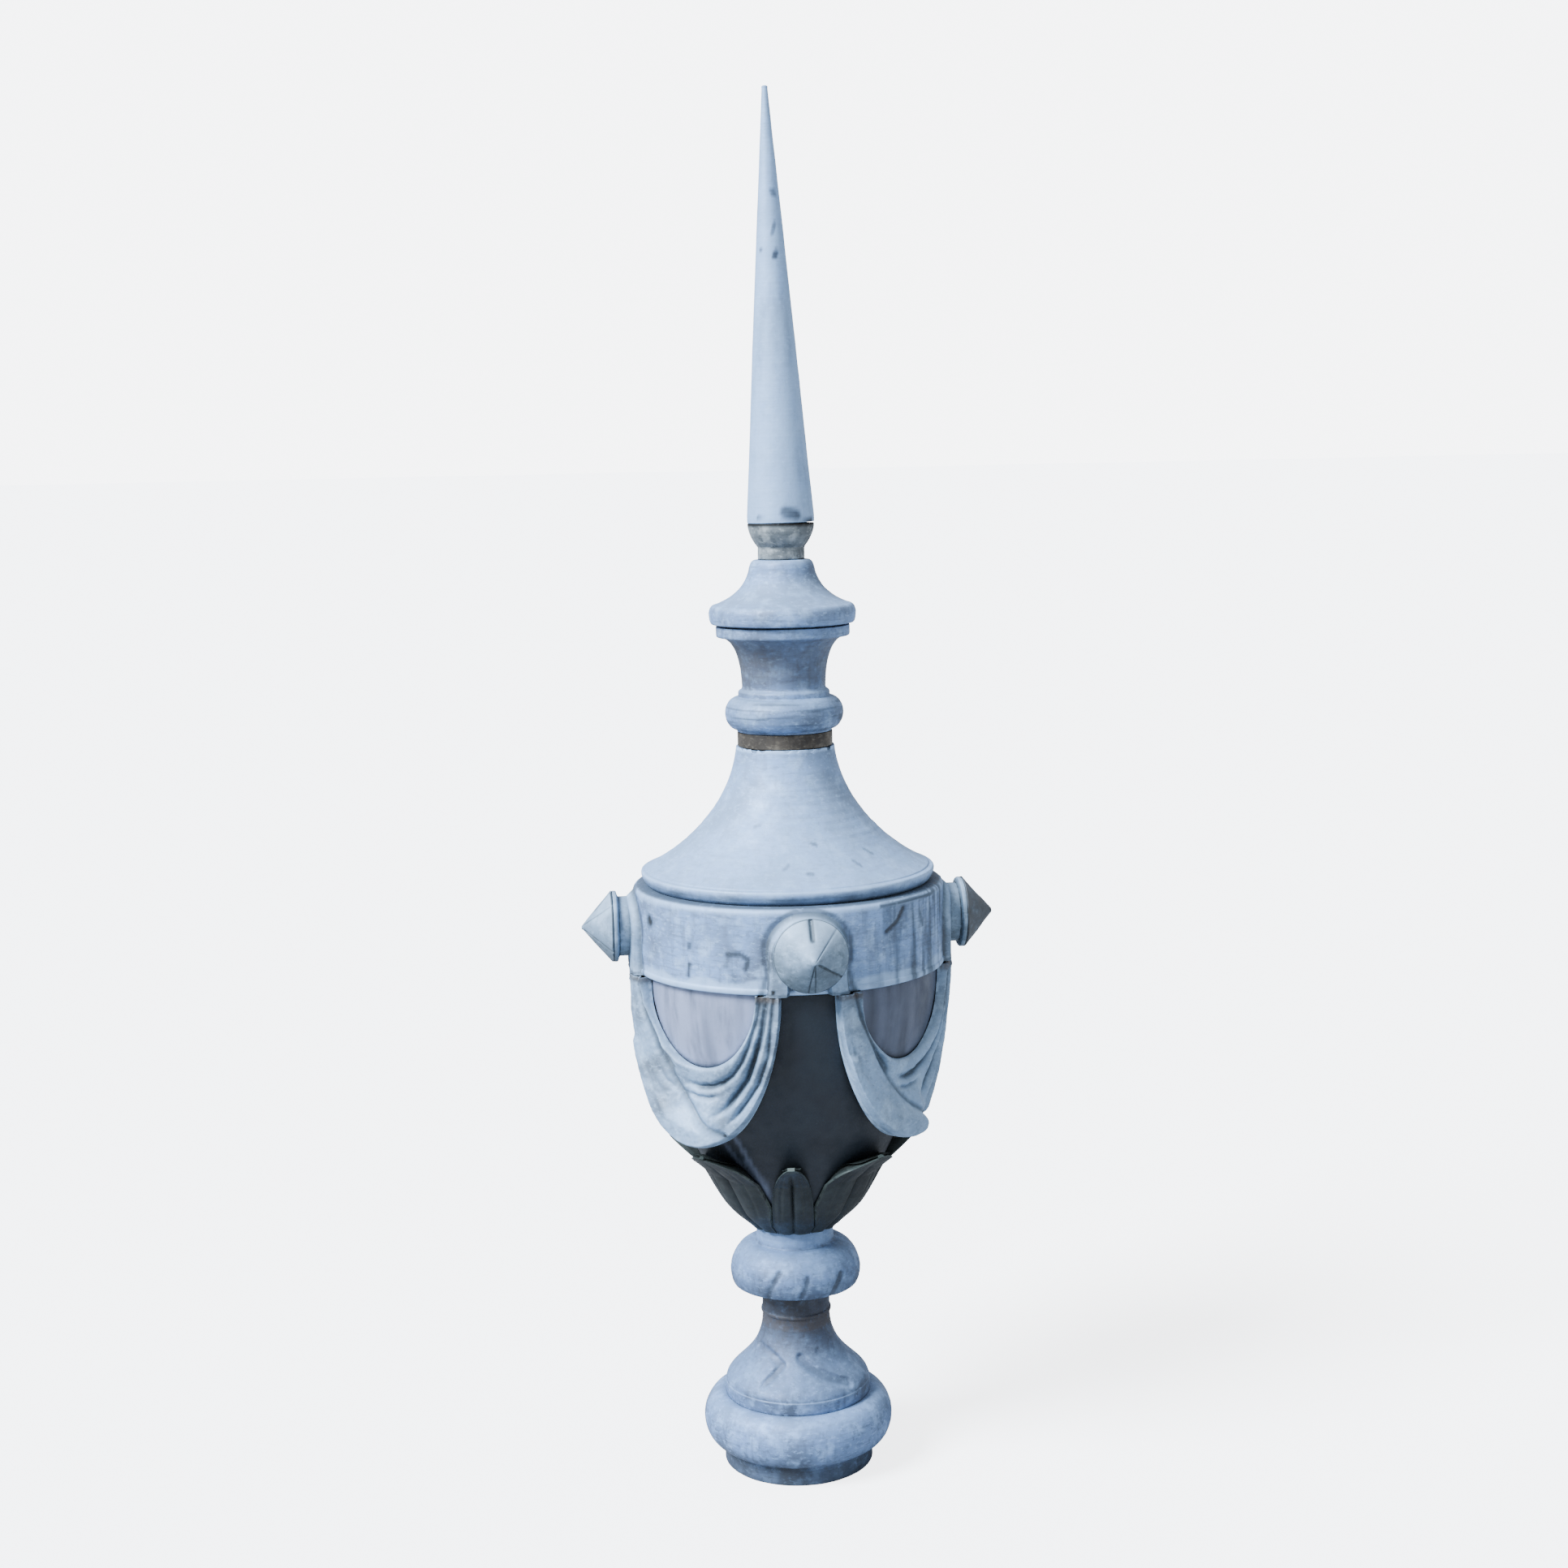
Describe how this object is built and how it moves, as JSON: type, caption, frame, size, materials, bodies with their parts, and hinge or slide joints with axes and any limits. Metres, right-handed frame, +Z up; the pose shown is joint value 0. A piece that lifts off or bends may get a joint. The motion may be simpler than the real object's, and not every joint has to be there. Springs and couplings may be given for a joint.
{
  "type": "roof finial",
  "caption": "Tall sheet zinc roof finial: moulded foot, leafed vase with cloth swags and cone bosses, trumpet lid, turned neck and long plain spire.",
  "frame": {"origin": "middle of the round underside, on the ground plane", "axes": "+Z up along the finial's axis; -Y through the front boss; +X through the right boss"},
  "size_m": [0.5572, 0.5572, 1.8502],
  "materials": {
    "zinc_pale": "weathered satin, pale blue-grey patina",
    "zinc_dark": "dark smooth patina",
    "zinc_stained": "rough brown and grey stain"
  },
  "bodies": {
    "root": {"foot_base": "zinc_pale", "foot_bell": "zinc_pale", "knop": "zinc_pale", "frieze_band": "zinc_pale", "lid": "zinc_pale", "neck_baluster": "zinc_pale", "cap": "zinc_pale", "spire_cone": "zinc_pale", "swag_hanger_front": "zinc_pale", "swag_hanger_right": "zinc_pale", "swag_hanger_back": "zinc_pale", "swag_hanger_left": "zinc_pale", "swag_1": "zinc_pale", "swag_2": "zinc_pale", "swag_3": "zinc_pale", "swag_4": "zinc_pale", "boss_collar_front": "zinc_pale", "boss_collar_right": "zinc_pale", "boss_collar_back": "zinc_pale", "boss_collar_left": "zinc_pale", "boss_cap_front": "zinc_pale", "boss_cap_right": "zinc_pale", "boss_cap_back": "zinc_pale", "boss_cap_left": "zinc_pale", "bowl": "zinc_dark", "leaf_1": "zinc_dark", "leaf_2": "zinc_dark", "leaf_3": "zinc_dark", "leaf_4": "zinc_dark", "leaf_5": "zinc_dark", "leaf_6": "zinc_dark", "leaf_7": "zinc_dark", "leaf_8": "zinc_dark", "neck_sleeve": "zinc_stained", "spire_socket": "zinc_stained"}
  },
  "joints": []
}
